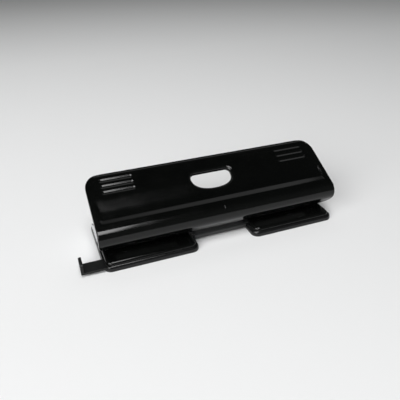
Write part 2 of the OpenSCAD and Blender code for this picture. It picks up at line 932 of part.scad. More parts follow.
module paper_guide() {
    color("#151516") placed()
        translate([-guide_face, guide_y, guide_z]) {
            cube([guide_l, guide_w, guide_t]);
            translate([guide_l - catch_w, 0, guide_t])
                cube([catch_w, guide_w, 2 * run_gap]);
            translate([-stop_t / 2, guide_w / 2, 0])
                along_x(stop_t) {
                    translate([-guide_w / 2, 0])
                        square([guide_w, stop_h - stop_r]);
                    translate([stop_r - guide_w / 2, 0])
                        square([guide_w - 2 * stop_r, stop_h]);
                    for (y = [-1, 1])
                        translate([y * (guide_w / 2 - stop_r), stop_h - stop_r])
                            circle(stop_r);
                }
        }
}

// Pins, clips and springs

// Punch pin with a hollowed cutting end and a neck for its clip
module punch_pin(i) {
    bite_r = 0.8 * hole_d;
    bite_d = 1;
    chamfer = 0.5;
    color("#b9bdc2") placed()
        translate([all_pin_x[i], pin_y, 0])
            difference() {
                union() {
                    translate([0, 0, z_pin])
                        cylinder(z_pin_top - chamfer - z_pin, d = hole_d);
                    translate([0, 0, z_pin_top - chamfer])
                        cylinder(chamfer, d1 = hole_d, d2 = hole_d - 2 * chamfer);
                }
                translate([0, 0, z_clip])
                    difference() {
                        cylinder(clip_t, d = 2 * hole_d);
                        translate([0, 0, -cut])
                            cylinder(clip_t + 2 * cut, d = neck_d);
                    }
                translate([0, 0, z_pin - bite_r + bite_d])
                    rotate([90, 0, 0])
                        cylinder(2 * hole_d, r = bite_r, center = true);
            }
}

module pin_clip(i) {
    mouth_w = 0.8 * neck_d;
    color("#8b8f94") placed()
        translate([all_pin_x[i], pin_y, z_clip])
            difference() {
                cylinder(clip_t, d = clip_d);
                translate([0, 0, -cut])
                    cylinder(clip_t + 2 * cut, d = neck_d + 2 * bore_gap);
                translate([-mouth_w / 2, -clip_d, -cut])
                    cube([mouth_w, clip_d, clip_t + 2 * cut]);
            }
}

// Spring: one helix of wire, with short ends that run straight onto the strip and the clip
coil_rings = 8;
wire_sides = 6;
spring_z0 = z_spring + bore_gap;
spring_z1 = z_clip - bore_gap;
coil_rise = spring_z1 - spring_z0 - 4 * wire_d;
coil_steps = coil_n * coil_rings;
spring_path = concat(
    [[coil_d / 2, 0, spring_z0], [coil_d / 2, 0, spring_z0 + wire_d]],
    [for (i = [1 : coil_steps - 1]) let (turn = 360 * i / coil_rings)
        [coil_d / 2 * cos(turn), coil_d / 2 * sin(turn),
         spring_z0 + 2 * wire_d + coil_rise * i / coil_steps]],
    [[coil_d / 2, 0, spring_z1 - wire_d], [coil_d / 2, 0, spring_z1]]
);
spring_n = len(spring_path);
function unit(v) = v / norm(v);
function path_way(i) = i < 2 || i > spring_n - 3
    ? [0, 0, 1]
    : unit(spring_path[i + 1] - spring_path[i - 1]);
function path_out(i) = unit([spring_path[i][0], spring_path[i][1], 0]);
spring_points = [for (i = [0 : spring_n - 1], k = [0 : wire_sides - 1])
    let (out = path_out(i), side = cross(path_way(i), out), turn = 360 * k / wire_sides)
    spring_path[i] + wire_d / 2 * (cos(turn) * out + sin(turn) * side)];
spring_faces = concat(
    [for (i = [0 : spring_n - 2], k = [0 : wire_sides - 1], half = [0, 1])
        let (a = i * wire_sides + k, b = i * wire_sides + (k + 1) % wire_sides)
        half == 0 ? [a, a + wire_sides, b] : [b, a + wire_sides, b + wire_sides]],
    [for (k = [1 : wire_sides - 2]) [0, k, k + 1]],
    [for (k = [1 : wire_sides - 2]) let (e = (spring_n - 1) * wire_sides) [e, e + k + 1, e + k]]
);
spring_gap = min([for (i = [0 : spring_n - 1], j = [i + 6 : spring_n - 1])
    norm(spring_path[i] - spring_path[j])]) - wire_d;
echo(spring_gap = spring_gap);

module return_spring(i) {
    color("#a5a9ae") placed()
        translate([all_pin_x[i], pin_y, 0])
            polyhedron(spring_points, spring_faces);
}

lever_cover();
lever_frame();
cover_screws();
left_press_rod();
right_press_rod();
pivot_rod();
rod_caps();
left_punch_frame();
right_punch_frame();
left_pin_guide();
right_pin_guide();
guide_rivets();
left_deck();
right_deck();
frame_rivets();
left_shell();
right_shell();
left_pads();
right_pads();
left_chip_drawer();
right_chip_drawer();
bridge_rail();
rail_rivets();
paper_guide();
punch_pin(0);  // punch_pin_1
punch_pin(1);  // punch_pin_2
punch_pin(2);  // punch_pin_3
punch_pin(3);  // punch_pin_4
pin_clip(0);  // pin_clip_1
pin_clip(1);  // pin_clip_2
pin_clip(2);  // pin_clip_3
pin_clip(3);  // pin_clip_4
return_spring(0);  // return_spring_1
return_spring(1);  // return_spring_2
return_spring(2);  // return_spring_3
return_spring(3);  // return_spring_4
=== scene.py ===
import bpy
import bmesh
import json
import math
import numpy as np
from mathutils import Matrix, Vector


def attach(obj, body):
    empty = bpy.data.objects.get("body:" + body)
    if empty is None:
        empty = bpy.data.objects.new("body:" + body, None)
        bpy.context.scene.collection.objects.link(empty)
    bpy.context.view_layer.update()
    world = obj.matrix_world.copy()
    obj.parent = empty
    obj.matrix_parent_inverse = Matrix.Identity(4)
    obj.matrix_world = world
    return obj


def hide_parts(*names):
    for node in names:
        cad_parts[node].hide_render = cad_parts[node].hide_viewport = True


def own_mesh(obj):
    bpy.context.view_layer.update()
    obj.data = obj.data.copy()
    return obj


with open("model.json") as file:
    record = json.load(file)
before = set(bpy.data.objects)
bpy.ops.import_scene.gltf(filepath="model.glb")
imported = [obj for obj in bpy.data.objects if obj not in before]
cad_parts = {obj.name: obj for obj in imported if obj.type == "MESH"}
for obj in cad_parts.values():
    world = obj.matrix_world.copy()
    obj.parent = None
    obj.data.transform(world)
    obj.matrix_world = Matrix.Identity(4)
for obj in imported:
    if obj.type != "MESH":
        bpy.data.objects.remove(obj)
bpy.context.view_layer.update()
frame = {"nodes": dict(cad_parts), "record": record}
print("frame loaded:", len(frame["nodes"]), "nodes")

# design millimetres (middle of the hole pattern, front of the bases, desk) to the frame's metres
placing = {"shiftX": 10.15, "shiftY": -43.75}
sides = {"left": -1, "right": 1}


def toFrame(points):
    moved = np.asarray(points, float) + [placing["shiftX"], placing["shiftY"], 0.0]
    return moved / 1000.0


# mesh helpers

meshing = {"weld": 2e-6, "thinnest": 1e-7, "evenWeight": 50}  # metres, metres, weight of the large faces


def gridQuads(rows, cols, closeCols=False):
    # every cell of a rows x cols grid as a quad, wrapping round where the columns are closed
    r, c = np.meshgrid(np.arange(rows - 1), np.arange(cols if closeCols else cols - 1), indexing="ij")
    here, beside = r * cols + c, r * cols + (c + 1) % cols
    return np.stack([here, beside, beside + cols, here + cols], -1).reshape(-1, 4)


def makePiece(name, points, quads, body, slotName, material, stands=()):
    # points in design millimetres, quads as an index array; unused points and doubles go
    used, quads = np.unique(np.asarray(quads), return_inverse=True)
    mesh = bpy.data.meshes.new(name)
    mesh.from_pydata(toFrame(np.asarray(points)[used]).tolist(), [], quads.reshape(-1, 4).tolist())
    bm = bmesh.new()
    bm.from_mesh(mesh)
    bmesh.ops.remove_doubles(bm, verts=bm.verts, dist=meshing["weld"])
    bmesh.ops.dissolve_degenerate(bm, edges=bm.edges, dist=meshing["thinnest"])
    bmesh.ops.recalc_face_normals(bm, faces=bm.faces)
    if bm.calc_volume(signed=True) < 0:
        bmesh.ops.reverse_faces(bm, faces=bm.faces)
    bm.to_mesh(mesh)
    bm.free()
    mesh.polygons.foreach_set("use_smooth", np.ones(len(mesh.polygons), bool))
    mesh.materials.append(material)
    piece = bpy.data.objects.new(name, mesh)
    bpy.context.scene.collection.objects.link(piece)
    even = piece.modifiers.new("evenNormals", "WEIGHTED_NORMAL")
    even.mode = "FACE_AREA"
    even.weight = meshing["evenWeight"]
    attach(piece, body)
    if stands:
        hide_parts(*stands)
    return piece


def between(low, high, step):
    # grid lines from low to high, about step apart
    return np.linspace(low, high, max(2, int(round((high - low) / step)) + 1))


def steppedLines(start, spans, apart=0.12):
    # grid lines from start on through (end, step) spans, without near doubles
    lines = [[start]]
    for end, step in spans:
        lines.append(between(lines[-1][-1], end, step))
    lines = np.unique(np.round(np.concatenate(lines), 4))
    return lines[np.concatenate([[True], np.diff(lines) > apart])]


def nearWindows(lines, wanted, clear=0.5):
    # grid lines with the wanted ones exact: a line nearer than clear to one of them gives way to it
    wanted = np.unique(np.round(np.array(wanted), 4))
    far = np.abs(lines[:, None] - wanted).min(1) > clear
    return np.unique(np.concatenate([lines[far], wanted]))


def rimOf(grid):
    # the values on a grid's border, once round
    return np.concatenate([grid[:, 0], grid[-1, 1:], grid[-2::-1, -1], grid[0, -2:0:-1]])


def windowOf(grid, c0, c1, r0, r1):
    # the values on the border of a window in a grid, once round
    return np.concatenate([grid[r0, c0:c1 + 1], grid[r0 + 1:r1 + 1, c1],
                           grid[r1, c0:c1][::-1], grid[r0 + 1:r1, c0][::-1]])


def quarterRound(r, steps):
    # (inset, drop) pairs of a rounded edge: r (1 - sin a), r (1 - cos a)
    return [(r * (1 - math.sin(a)), r * (1 - math.cos(a))) for a in np.radians(np.linspace(0, 90, steps + 1))]


def roundedRows(border, straight, inset):
    # rows of a rounded rectangle drawn in by inset: along the arcs s = corner +- (r - inset) sin a and
    # half width = half - r + (r - inset) cos a; between them the half width is half - inset
    half, low, high, rLow, rHigh = (border[key] for key in ("half", "low", "high", "rLow", "rHigh"))
    lowArc, highArc = np.radians(border["arcLow"][::-1]), np.radians(border["arcHigh"])
    s = np.concatenate([low + rLow - (rLow - inset) * np.sin(lowArc), straight,
                        high - rHigh + (rHigh - inset) * np.sin(highArc)])
    w = np.concatenate([half - rLow + (rLow - inset) * np.cos(lowArc), np.full(len(straight), half - inset),
                        half - rHigh + (rHigh - inset) * np.cos(highArc)])
    return s, w


def holeRing(hole, grow, angles):
    # points of a hole's outline in the given directions from its centre
    outline, centre = hole["outline"](grow), np.array(hole["centre"])
    offX, offS = (outline - centre).T
    turn = np.arctan2(offS, offX)
    order = np.argsort(turn)
    reach = np.interp(angles, turn[order], np.hypot(offX, offS)[order], period=2 * np.pi)
    return centre[0] + reach * np.cos(angles), centre[1] + reach * np.sin(angles)


def platedSheet(border, straight, cols, rim, faceHeight, backHeight, holes, place):
    # A sheet with rounded corners, an outer and an inner face and a rim profile carried round its border.
    # rim: (inset, height) pairs from the outer face to the inner one, heights may be functions of (x, s).
    # holes: centre, outline(grow), window, rings, and a profile of (grow, height) pairs like the rim's.
    points, quads = [], []

    def add(x, s, height):
        # keeps the points and gives their numbers
        heights = height(x, s) if callable(height) else np.full(np.shape(x), float(height))
        first = sum(len(block) for block in points)
        points.append(np.stack([x, s, heights], -1).reshape(-1, 3))
        return np.arange(first, first + np.size(x)).reshape(np.shape(x))

    def band(loops):
        # faces between closed loops with as many points each
        quads.append(np.concatenate(loops)[gridQuads(len(loops), len(loops[0]), closeCols=True)])

    def gridAt(inset):
        s, w = roundedRows(border, straight, inset)
        return cols / cols.max() * w[:, None], np.repeat(s[:, None], len(cols), 1)

    windows, faces = {}, []
    for end, height in ((0, faceHeight), (-1, backHeight)):
        x, s = gridAt(rim[end][0])
        grid = add(x, s, height)
        rows, count = grid.shape
        keep = np.ones((rows - 1, count - 1), bool)
        holeLoops = []
        for k, hole in enumerate(holes):
            if k not in windows:  # a window's cells are found once, on the outer face
                lines = zip((cols, cols, s[:, 0], s[:, 0]), hole["window"])
                windows[k] = [np.abs(line - edge).argmin() for line, edge in lines]
            c0, c1, r0, r1 = windows[k]
            keep[r0:r1, c0:c1] = False
            loop, edgeX, edgeS = (windowOf(values, c0, c1, r0, r1) for values in (grid, x, s))
            angles = np.arctan2(edgeS - hole["centre"][1], edgeX - hole["centre"][0])
            holeX, holeS = holeRing(hole, hole["profile"][end][0], angles)
            t = np.linspace(0, 1, hole["rings"])[1:, None]
            loops = [loop, *add(edgeX + (holeX - edgeX) * t, edgeS + (holeS - edgeS) * t, height)]
            band(loops)
            holeLoops.append((loops[-1], angles))
        cells = gridQuads(rows, count).reshape(rows - 1, count - 1, 4)
        quads.append(grid.reshape(-1)[cells[keep]])
        faces.append((rimOf(grid), holeLoops))
    (outerRim, outerHoles), (innerRim, innerHoles) = faces

    loops = [outerRim]
    for inset, height in rim[1:-1]:
        x, s = gridAt(inset)
        loops.append(add(rimOf(x), rimOf(s), height))
    band(loops + [innerRim])

    for hole, (outerLoop, angles), (innerLoop, _) in zip(holes, outerHoles, innerHoles):
        loops = [outerLoop]
        for grow, height in hole["profile"][1:-1]:
            loops.append(add(*holeRing(hole, grow, angles), height))
        band(loops + [innerLoop])
    return place(*np.concatenate(points).T), np.concatenate(quads)


def roundHole(centre, hole, profile, steps=96):
    # a round hole for platedSheet: centre + (d / 2 + grow) (cos a, sin a), in a window of half widths x, y
    a = np.linspace(-np.pi, np.pi, steps, endpoint=False)
    circle = np.stack([np.cos(a), np.sin(a)], -1)
    (x, y), (halfX, halfY) = centre, hole["window"]
    return dict(centre=centre, outline=lambda grow: np.array(centre) + (hole["d"] / 2 + grow) * circle,
                window=(x - halfX, x + halfX, y - halfY, y + halfY), rings=hole["rings"], profile=profile)


def sweptTube(path, radius, around, out, ease=0.04):
    # a round tube along a path: point = path + radius (cos k out + sin k side), side = way x out,
    # with flat ends whose edge is drawn in by a small share
    way = np.gradient(path, axis=0)
    way /= np.linalg.norm(way, axis=1)[:, None]
    out = out - (out * way).sum(1)[:, None] * way
    out /= np.linalg.norm(out, axis=1)[:, None]
    side = np.cross(way, out)
    k = np.linspace(0, 2 * np.pi, around, endpoint=False)[None, :, None]
    tube = path[:, None, :] + radius * (np.cos(k) * out[:, None, :] + np.sin(k) * side[:, None, :])
    low, high = np.repeat(path[:1, None, :], around, 1), np.repeat(path[-1:, None, :], around, 1)
    lowEdge, highEdge = tube[:1] * (1 - ease) + low * ease, tube[-1:] * (1 - ease) + high * ease
    rings = np.concatenate([low, lowEdge, tube, highEdge, high])
    return rings.reshape(-1, 3), gridQuads(len(rings), around, closeCols=True)


def lathe(profile, around):
    # a profile of (radius, height) turned about Z: x = r cos a, y = r sin a
    a = np.linspace(0, 2 * np.pi, around, endpoint=False)
    r, z = np.array(profile, float).T[:, :, None]
    points = np.stack([r * np.cos(a), r * np.sin(a), np.repeat(z, around, 1)], -1)
    return points.reshape(-1, 3), gridQuads(len(r), around, closeCols=True)


def joined(parts):
    # several (points, quads) pairs as one
    starts = np.cumsum([0] + [len(points) for points, _ in parts])
    return (np.concatenate([points for points, _ in parts]),
            np.concatenate([quads + start for (_, quads), start in zip(parts, starts)]))


# materials

noiseSpan = (0.3, 0.7)  # the part of a noise's range that is spread over a finish


def newMaterial(name):
    material = bpy.data.materials.new(name)
    material.use_nodes = True
    tree = material.node_tree
    shader = next(n for n in tree.nodes if n.type == "BSDF_PRINCIPLED")
    coords = tree.nodes.new("ShaderNodeTexCoord")
    return material, tree, shader, coords.outputs["Object"]


def noiseAt(tree, coords, scale, detail=3.0, rough=0.55, stretch=None):
    noise = tree.nodes.new("ShaderNodeTexNoise")
    noise.inputs["Scale"].default_value = scale
    noise.inputs["Detail"].default_value = detail
    noise.inputs["Roughness"].default_value = rough
    if stretch:
        mapping = tree.nodes.new("ShaderNodeMapping")
        mapping.inputs["Scale"].default_value = stretch
        tree.links.new(coords, mapping.inputs["Vector"])
        coords = mapping.outputs["Vector"]
    tree.links.new(coords, noise.inputs["Vector"])
    return noise.outputs["Fac"]


def rampOver(tree, factor, stops):
    # stops: (position, colour) pairs in order
    ramp = tree.nodes.new("ShaderNodeValToRGB")
    elements = ramp.color_ramp.elements
    elements[0].position, elements[1].position = stops[0][0], stops[-1][0]
    for position, _ in stops[1:-1]:
        elements.new(position)
    for element, (_, colour) in zip(elements, stops):
        element.color = (*colour, 1)
    tree.links.new(factor, ramp.inputs["Fac"])
    return ramp.outputs["Color"]


def mixColour(tree, factor, low, high):
    return rampOver(tree, factor, list(zip(noiseSpan, (low, high))))


def remapped(tree, factor, fromSpan, toSpan, easing="LINEAR"):
    remap = tree.nodes.new("ShaderNodeMapRange")
    remap.interpolation_type = easing
    for socket, value in zip(("From Min", "From Max", "To Min", "To Max"), (*fromSpan, *toSpan)):
        remap.inputs[socket].default_value = value
    tree.links.new(factor, remap.inputs["Value"])
    return remap.outputs["Result"]


def mathNode(tree, operation, first, second=0.0):
    node = tree.nodes.new("ShaderNodeMath")
    node.operation = operation
    tree.links.new(first, node.inputs[0])
    if isinstance(second, float):
        node.inputs[1].default_value = second
    else:
        tree.links.new(second, node.inputs[1])
    return node.outputs["Value"]


def bumpFrom(tree, height, distance, strength, softEdge=0.0):
    bump = tree.nodes.new("ShaderNodeBump")
    bump.inputs["Distance"].default_value = distance
    bump.inputs["Strength"].default_value = strength
    tree.links.new(height, bump.inputs["Height"])
    if softEdge:
        bevel = tree.nodes.new("ShaderNodeBevel")
        bevel.samples = 6
        bevel.inputs["Radius"].default_value = softEdge
        tree.links.new(bevel.outputs["Normal"], bump.inputs["Normal"])
    return bump.outputs["Normal"]


finishes = {  # colours low/high, roughness low/high, gloss, grain scale per metre, bump depth in metres
    "glossBlack": dict(low=(0.0010, 0.0012, 0.0011), high=(0.0016, 0.0019, 0.0017), rough=(0.12, 0.17),
                       gloss=0.36, scale=260, bump=0.00002, strength=0.10),
    "blackEnamel": dict(low=(0.0016, 0.0018, 0.0017), high=(0.0026, 0.0029, 0.0027), rough=(0.09, 0.13),
                        gloss=0.3, scale=420, bump=0.00003, strength=0.16),
    "railEnamel": dict(low=(0.017, 0.0178, 0.0178), high=(0.025, 0.0258, 0.0258), rough=(0.28, 0.38),
                       gloss=0.5, scale=420, bump=0.00003, strength=0.16),
    "shellBlack": dict(low=(0.0035, 0.0036, 0.0037), high=(0.006, 0.0062, 0.0063), rough=(0.17, 0.25),
                       gloss=0.36, scale=2600, bump=0.00004, strength=0.30),
    "drawerBlack": dict(low=(0.012, 0.012, 0.0125), high=(0.018, 0.018, 0.019), rough=(0.38, 0.48),
                        gloss=0.4, scale=2600, bump=0.00005, strength=0.35),
    "guideBlack": dict(low=(0.006, 0.0063, 0.0063), high=(0.010, 0.0104, 0.0104), rough=(0.34, 0.46),
                       gloss=0.26, scale=2400, bump=0.00004, strength=0.30),
    "capBlack": dict(low=(0.008, 0.008, 0.008), high=(0.013, 0.013, 0.013), rough=(0.35, 0.5),
                     gloss=0.35, scale=2400, bump=0.00004, strength=0.30),
    "padRubber": dict(low=(0.012, 0.012, 0.012), high=(0.024, 0.024, 0.024), rough=(0.75, 0.9),
                      gloss=0.4, scale=1800, bump=0.00008, strength=0.5),
}
metals = {  # as above, with the grain's stretch along x, y, z
    "zinc": dict(low=(0.58, 0.59, 0.61), high=(0.76, 0.77, 0.78), rough=(0.24, 0.38),
                 scale=120, stretch=(1, 1, 1), bump=0.00003, strength=0.15),
    "brightSteel": dict(low=(0.50, 0.51, 0.52), high=(0.66, 0.67, 0.68), rough=(0.18, 0.32),
                        scale=900, stretch=(0.05, 1, 1), bump=0.00002, strength=0.2),
    "toolSteel": dict(low=(0.46, 0.47, 0.49), high=(0.60, 0.61, 0.63), rough=(0.15, 0.26),
                      scale=900, stretch=(1, 1, 0.08), bump=0.00002, strength=0.15),
    "springSteel": dict(low=(0.36, 0.37, 0.39), high=(0.52, 0.53, 0.55), rough=(0.2, 0.34),
                        scale=700, stretch=(1, 1, 1), bump=0.00002, strength=0.15),
}
patches = {"tone": (24, 2.0), "sheen": (60, 4.0), "metalSheen": (90, 3.0)}  # scale per metre, detail
metalGrain = {"detail": 4.0, "rough": 0.6}
softEdges = {"shellBlack": 0.0004, "drawerBlack": 0.0005, "padRubber": 0.0002, "blackEnamel": 0.0003,
             "zinc": 0.0003, "brightSteel": 0.0002, "toolSteel": 0.0002}  # radius in metres
# colour of the painted shade on the frames' fronts, and the limit of the x direction under which it is painted
frameShadePainted = {"shadeColour": (0.02, 0.02, 0.021), "facing": 0.5}


def finishShader(tree, shader, finish, tone, sheen, height, softEdge):
    # colour from the tone's noise, roughness from the sheen's and bump from the height's
    tree.links.new(mixColour(tree, tone, finish["low"], finish["high"]), shader.inputs["Base Color"])
    tree.links.new(remapped(tree, sheen, noiseSpan, finish["rough"]), shader.inputs["Roughness"])
    bump = bumpFrom(tree, height, finish["bump"], finish["strength"], softEdge)
    tree.links.new(bump, shader.inputs["Normal"])


def plasticFinish(name, softEdge=0.0):
    finish = finishes[name]
    material, tree, shader, coords = newMaterial(name + ("Soft" if softEdge else ""))
    tone, sheen = noiseAt(tree, coords, *patches["tone"]), noiseAt(tree, coords, *patches["sheen"])
    finishShader(tree, shader, finish, tone, sheen, noiseAt(tree, coords, finish["scale"]), softEdge)
    shader.inputs["Specular IOR Level"].default_value = finish["gloss"]
    return material


def metalFinish(name, softEdge=0.0):
    finish = metals[name]
    material, tree, shader, coords = newMaterial(name)
    grain = noiseAt(tree, coords, finish["scale"], stretch=finish["stretch"], **metalGrain)
    finishShader(tree, shader, finish, grain, noiseAt(tree, coords, *patches["metalSheen"]), grain, softEdge)
    shader.inputs["Metallic"].default_value = 1.0
    return material


def paintedShadeOnFronts(name):
    # the frames' sides are bright sheet; their paper stops, feet and cut edges get painted shade, which stands in
    # for the shade in the paper slot and on the edges: dark where the surface's x direction is under a limit
    material = metalFinish(name, softEdges[name])
    material.name = name + "Sheet"
    tree = material.node_tree
    shader = next(n for n in tree.nodes if n.type == "BSDF_PRINCIPLED")
    coords = next(n for n in tree.nodes if n.type == "TEX_COORD")
    facing = tree.nodes.new("ShaderNodeSeparateXYZ")
    tree.links.new(coords.outputs["Normal"], facing.inputs["Vector"])
    turned = mathNode(tree, "ABSOLUTE", facing.outputs["X"])
    blend = tree.nodes.new("ShaderNodeMix")
    blend.data_type = "RGBA"
    bright = shader.inputs["Base Color"].links[0].from_socket
    tree.links.new(mathNode(tree, "LESS_THAN", turned, frameShadePainted["facing"]), blend.inputs["Factor"])
    tree.links.new(bright, blend.inputs["A"])
    blend.inputs["B"].default_value = (*frameShadePainted["shadeColour"], 1)
    tree.links.new(blend.outputs["Result"], shader.inputs["Base Color"])
    return material


glossBlack = plasticFinish("glossBlack")
blackEnamel = plasticFinish("blackEnamel")
railEnamel = plasticFinish("railEnamel")
shellBlack = plasticFinish("shellBlack", softEdges["shellBlack"])
guideBlack = plasticFinish("guideBlack")
capBlack = plasticFinish("capBlack")
zincPaintedShade = paintedShadeOnFronts("zinc")
springSteel = metalFinish("springSteel")
slotMaterial = {
    "gloss_black": glossBlack, "shell_black": shellBlack, "guide_black": guideBlack, "cap_black": capBlack,
    "drawer_black": plasticFinish("drawerBlack", softEdges["drawerBlack"]),
    "black_enamel": plasticFinish("blackEnamel", softEdges["blackEnamel"]),
    "pad_rubber": plasticFinish("padRubber", softEdges["padRubber"]),
    "zinc": metalFinish("zinc", softEdges["zinc"]),
    "bright_steel": metalFinish("brightSteel", softEdges["brightSteel"]),
    "tool_steel": metalFinish("toolSteel", softEdges["toolSteel"]),
    "spring_steel": springSteel,
}
for sub in frame["record"]["subparts"]:
    node = frame["nodes"][sub["node"]]
    node.data.materials.clear()
    bySlot = slotMaterial[sub["material_slot"]]
    # the punch frames take the zinc with painted shade on their paper stops, feet and cut edges
    node.data.materials.append(zincPaintedShade if "punch_frame" in sub["node"] else bySlot)
print("materials:", len(slotMaterial))

# lever cover

lever = {"pivotY": 16.4, "pivotZ": 32.0, "tilt": 27.3, "half": 131.2, "noseR": 12.0, "lipL": 11.0,
         "lipTurn": 12.6, "plateL": 67.2, "backR": 18.0, "lipR": 10.5, "wall": 2.4, "edge": 1.2, "edgeSteps": 5,
         "rimW": 2.2, "rimD": 6.0, "rimFade": 6.0, "rimSoft": 0.4, "rimSoftMid": 0.12, "rimSoftIn": 0.3}
roll = {"width": 5.0, "r": 8.0, "turn": 6.0, "most": 0.95}
hollow = {"inset": 5.1, "front": 5.3, "end": 34.0, "depth": 1.2, "slope": 6.0, "side": 2.6, "level": 8.0,
          "knee": 0.09, "sideKnee": 0.16}
grooves = {"count": 3, "length": 34.5, "pitch": 7.5, "width": 4.0, "depth": 0.5, "inset": 14.8, "back": 10.7,
           "soft": 0.006}
fingerHole = {"width": 45.0, "straight": 6.0, "round": 14.5, "full": 2.3, "back": 22.0, "r": 5.0, "flare": 4.0,
              "collar": 2.0, "deep": 4.4, "lead": 0.4, "soft": 0.2, "softIn": 0.3, "windowX": 36.0,
              "windowMargin": 4.5, "centre": 2.0, "rings": 10, "flareSteps": 15, "cornerSteps": 40,
              "frontSteps": 200, "backSteps": 60, "sideSteps": 8}
coverGrid = {"fine": 0.5, "grooveEnd": 0.55, "front": 0.9, "plate": 1.0, "hole": 1.1, "middle": 1.2,
             "plain": 1.8, "outside": 1.0, "inside": 4.0, "sideW": 11.0, "knee": 1.5, "gap": 0.2,
             "lipArc": (6, 90, 15), "backArc": (1.8, 90, 50)}  # steps and margins in mm, arcs in degrees

lipAngle = math.radians(180 + lever["lipTurn"])
plateS = lever["lipL"] + lever["noseR"] * (lipAngle - math.pi / 2)  # path length at which the plate starts
pathL = plateS + lever["plateL"]
holeBack = pathL - fingerHole["back"]
holeFront = holeBack - fingerHole["straight"] - fingerHole["round"]


def onLever(x, y, z):
    # lever's own frame (pivot at the origin, plate level) to design millimetres
    t = math.radians(lever["tilt"])
    return np.stack([x, lever["pivotY"] + y * math.cos(t) - z * math.sin(t),
                     lever["pivotZ"] + y * math.sin(t) + z * math.cos(t)], -1)


def coverPoint(x, s, depth):
    # section path from the lip's edge over the nose and along the plate: straight, arc, straight,
    # with depth measured inwards from it
    r = lever["noseR"]
    angle = np.clip(lipAngle - (s - lever["lipL"]) / r, math.pi / 2, lipAngle)
    down = np.maximum(lever["lipL"] - s, 0)
    along = np.maximum(s - plateS, 0)
    y = (r - depth) * np.cos(angle) - down * math.sin(lipAngle) + along
    z = (r - depth) * np.sin(angle) + down * math.cos(lipAngle)
    return onLever(x, y, z)


def smooth(t):
    # 0 below 0, 1 above 1, and 3 t^2 - 2 t^3 between
    t = np.clip(t, 0, 1)
    return t * t * (3 - 2 * t)


def softRamp(t, knee):
    # 0 below 0, 1 above 1, straight between, with soft knees: half the difference of two hyperbolas
    return (np.sqrt(t * t + knee * knee) - np.sqrt((t - 1) ** 2 + knee * knee) + 1) / 2


def hollowDepth(x, y):
    # product of three ramps: up from the front edge, in from the sides, and out towards the back
    floorFrom = hollow["front"] + hollow["slope"] + hollow["level"]
    front = softRamp((y - hollow["front"]) / hollow["slope"], hollow["knee"])
    side = softRamp((lever["half"] - hollow["inset"] - np.abs(x)) / hollow["side"], hollow["sideKnee"])
    back = softRamp((hollow["end"] - y) / (hollow["end"] - floorFrom), hollow["knee"])
    return hollow["depth"] * front * side * back


def grooveDepth(x, y):
    # round-bottomed grooves: the depth less the sagitta of an arc at the distance from each middle line,
    # softened at the edges
    width, deep = grooves["width"], grooves["depth"]
    r = (width ** 2 / 4 + deep ** 2) / (2 * deep)
    middle = lever["half"] - grooves["inset"] - grooves["length"] / 2
    offX = np.maximum(np.abs(np.abs(x) - middle) - (grooves["length"] - width) / 2, 0)
    depth = np.zeros(np.shape(x))
    for i in range(grooves["count"]):
        offY = y - (lever["plateL"] - grooves["back"] - i * grooves["pitch"])
        dip = np.sqrt(np.maximum(r * r - offX ** 2 - offY ** 2, 0)) - r + deep
        depth = depth + (dip + np.sqrt(dip * dip + grooves["soft"])) / 2
    return depth


def rollDepth(y):
    # the back edge rolls down along an arc of radius r that leaves the plate at a small angle
    r, turn = roll["r"], math.radians(roll["turn"])
    t = np.maximum(y - lever["plateL"] + roll["width"] + r * math.sin(turn), 0)
    drop = r - np.sqrt(r ** 2 - np.minimum(t, roll["most"] * r) ** 2)
    return np.maximum(drop - r * (1 - math.cos(turn)), 0)


def plateDepth(x, s):
    # hollow, grooves and roll added up on the plate, nothing on the nose and the lip
    y = s - plateS
    return np.where(y > 0, hollowDepth(x, y) + grooveDepth(x, y) + rollDepth(y), 0)


def rimDepth(x, s):
    # the rim hangs deep round the plate and the nose, and thins to the wall along the lip
    return lever["wall"] + (lever["rimD"] - lever["wall"]) * smooth((s - lever["lipL"]) / lever["rimFade"] + 0.5)


def plus(depth, extra):
    return lambda x, s: depth(x, s) + extra


def fingerOutline(grow):
    # D shape: straight back with round corners; in front |x/a|^n + |y/b|^n = 1
    half, r, power = fingerHole["width"] / 2 + grow, fingerHole["r"] + grow, 2 / fingerHole["full"]
    back, mid = holeBack + grow, holeBack - fingerHole["straight"]
    a = np.linspace(0, np.pi / 2, fingerHole["cornerSteps"])
    e = np.linspace(0, np.pi, fingerHole["frontSteps"])
    flat = np.linspace(half - r, r - half, fingerHole["backSteps"])[1:-1]
    side = np.linspace(back - r, mid, fingerHole["sideSteps"])[1:-1]
    frontX = -half * np.sign(np.cos(e)) * np.abs(np.cos(e)) ** power
    return np.concatenate([
        np.stack([half - r + r * np.cos(a), back - r + r * np.sin(a)], -1),
        np.stack([flat, np.full(len(flat), back)], -1),
        np.stack([r - half - r * np.sin(a), back - r + r * np.cos(a)], -1),
        np.stack([np.full(len(side), -half), side], -1),
        np.stack([frontX, mid - (fingerHole["round"] + grow) * np.sin(e) ** power], -1),
        np.stack([np.full(len(side), half), side[::-1]], -1)])


def flareAt(angle):
    # quarter round into the finger hole: it starts at the plate's own depth and ends at its radius
    r = fingerHole["flare"]
    drop = r * (1 - math.cos(angle))
    return r * (1 - math.sin(angle)), lambda x, s: plateDepth(x, s) * math.cos(angle) ** 2 + drop


def coverRim():
    # rounded outer edge, straight side, soft lower edges, and up inside to the wall
    rim = [(inset, plus(plateDepth, drop)) for inset, drop in quarterRound(lever["edge"], lever["edgeSteps"])]
    width, soft, mid, softIn = (lever[key] for key in ("rimW", "rimSoft", "rimSoftMid", "rimSoftIn"))
    return rim + [(0.0, plus(rimDepth, -soft)), (mid, plus(rimDepth, -mid)), (soft, rimDepth),
                  (width - softIn, rimDepth), (width, plus(rimDepth, -softIn)), (width, lever["wall"])]


